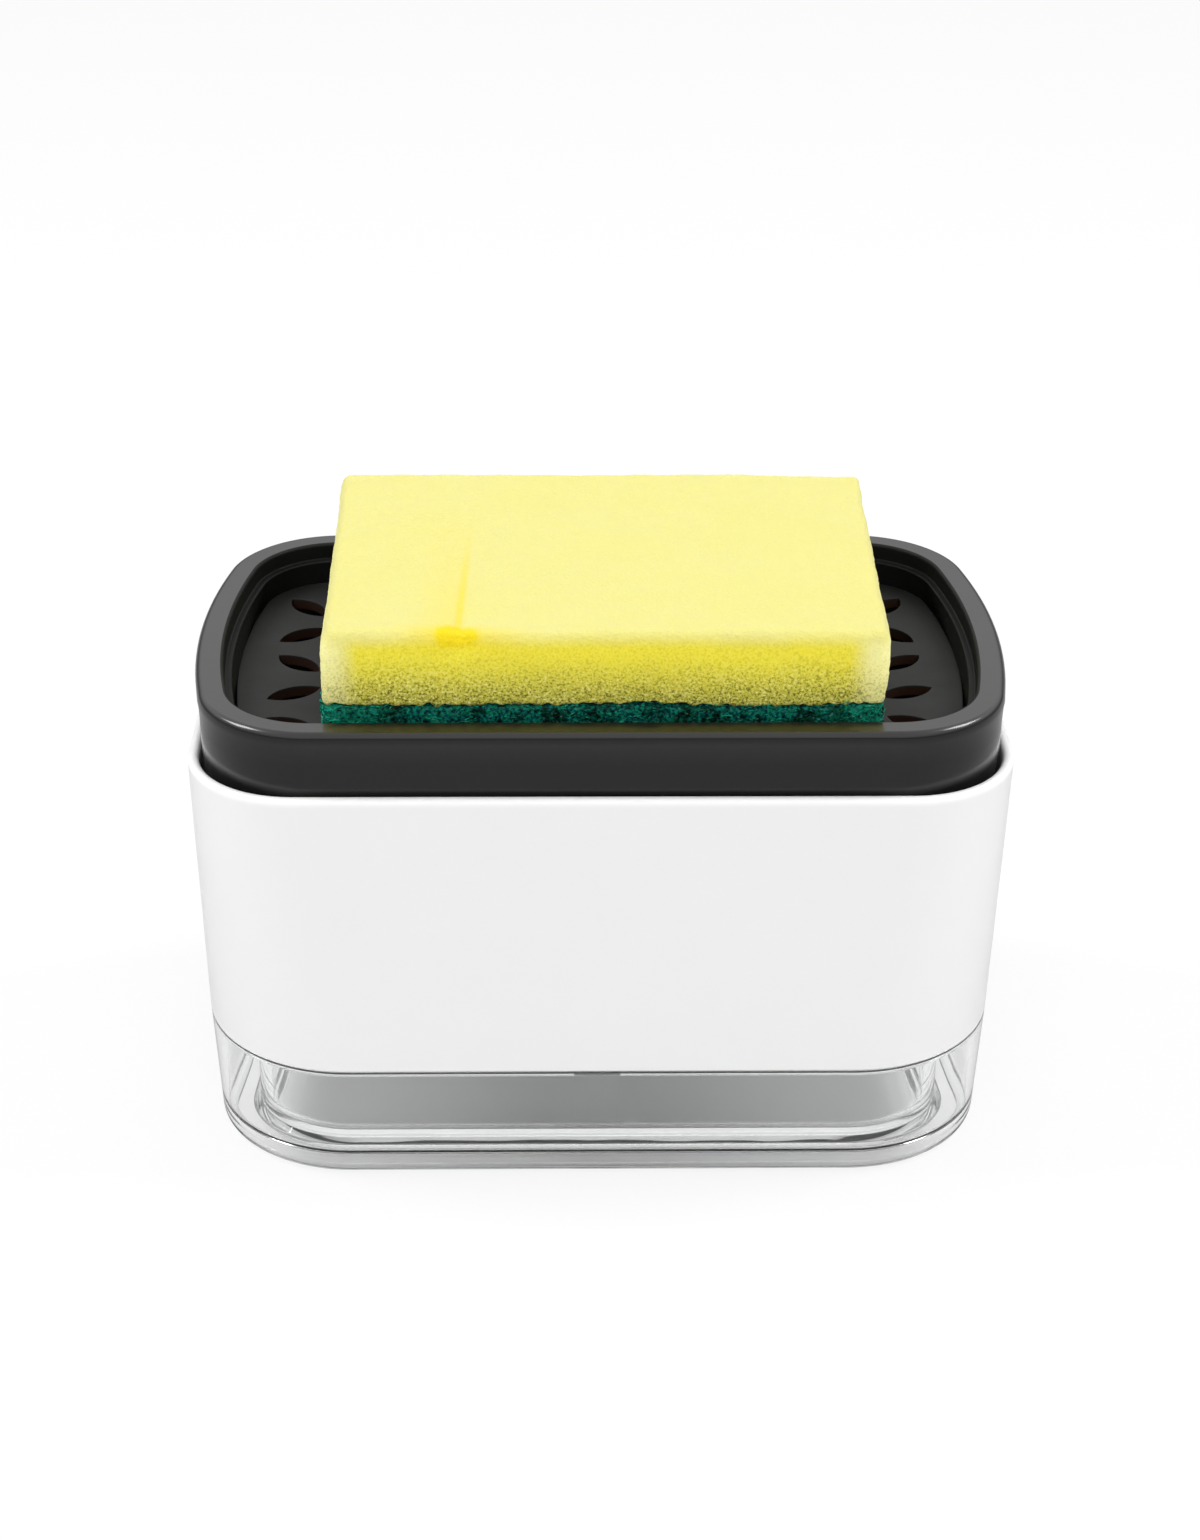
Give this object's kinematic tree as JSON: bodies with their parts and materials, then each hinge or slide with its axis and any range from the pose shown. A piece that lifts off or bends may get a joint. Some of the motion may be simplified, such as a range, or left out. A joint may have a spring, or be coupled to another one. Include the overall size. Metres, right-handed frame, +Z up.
{
  "type": "soap pump caddy",
  "caption": "Countertop soap dispenser with a clear reservoir in a white sleeve and a dark slotted press tray on top that pumps soap up into the sponge resting on it.",
  "frame": {"origin": "middle of the foot, on the counter", "axes": "+Z up, +X along the caddy's width to the right as seen from the front, +Y from front to back"},
  "size_m": [0.14, 0.0872, 0.1015],
  "materials": {
    "clear_plastic": "polished clear plastic",
    "white_plastic": "satin white plastic",
    "dark_plastic": "semi-gloss charcoal plastic",
    "deck_plastic": "moulded grey plastic",
    "pump_plastic": "natural white plastic",
    "tube_plastic": "natural plastic tube",
    "seal_rubber": "soft grey rubber",
    "piston_rubber": "black rubber",
    "spring_steel": "drawn steel wire",
    "ball_steel": "polished steel balls",
    "yellow_foam": "open-cell foam",
    "green_scourer": "non-woven scouring fibre"
  },
  "bodies": {
    "reservoir": {"tank": "clear_plastic", "sleeve": "white_plastic"},
    "pump_deck": {"mouth_seal": "seal_rubber", "deck": "deck_plastic", "pump_washer": "seal_rubber", "pump_barrel": "pump_plastic", "guide_bush": "pump_plastic", "lock_nut": "dark_plastic", "dip_tube": "tube_plastic", "ball_cage": "pump_plastic", "return_spring": "spring_steel"},
    "inlet_valve": {"inlet_ball": "ball_steel"},
    "plunger": {"spring_cup": "pump_plastic", "piston_seal": "piston_rubber", "stem": "pump_plastic", "pump_head": "dark_plastic"},
    "outlet_valve": {"outlet_ball": "ball_steel"},
    "tray": {"press_tray": "dark_plastic", "drain_plate": "dark_plastic", "nozzle_cap": "dark_plastic"},
    "sponge": {"sponge_foam": "yellow_foam", "scouring_pad": "green_scourer"}
  },
  "joints": [
    {"name": "deck_lift", "type": "slide", "parent": "reservoir", "child": "pump_deck", "axis": [0, 0, 1], "range_m": [0, 0.09]},
    {"name": "press", "type": "slide", "parent": "pump_deck", "child": "plunger", "axis": [0, 0, -1], "range_m": [0, 0.007], "stiffness_N_per_m": 600, "springref_m": -0.008, "deforming": ["return_spring"]},
    {"name": "tray_lift", "type": "slide", "parent": "plunger", "child": "tray", "axis": [0, 0, 1], "range_m": [0, 0.05]},
    {"name": "sponge_lift", "type": "slide", "parent": "tray", "child": "sponge", "axis": [0, 0, 1], "range_m": [0, 0.06]},
    {"name": "inlet_ball_lift", "type": "slide", "parent": "pump_deck", "child": "inlet_valve", "axis": [0, 0, 1], "range_m": [0, 0.0012]},
    {"name": "outlet_ball_lift", "type": "slide", "parent": "plunger", "child": "outlet_valve", "axis": [0, 0, 1], "range_m": [0, 0.0008]}
  ]
}
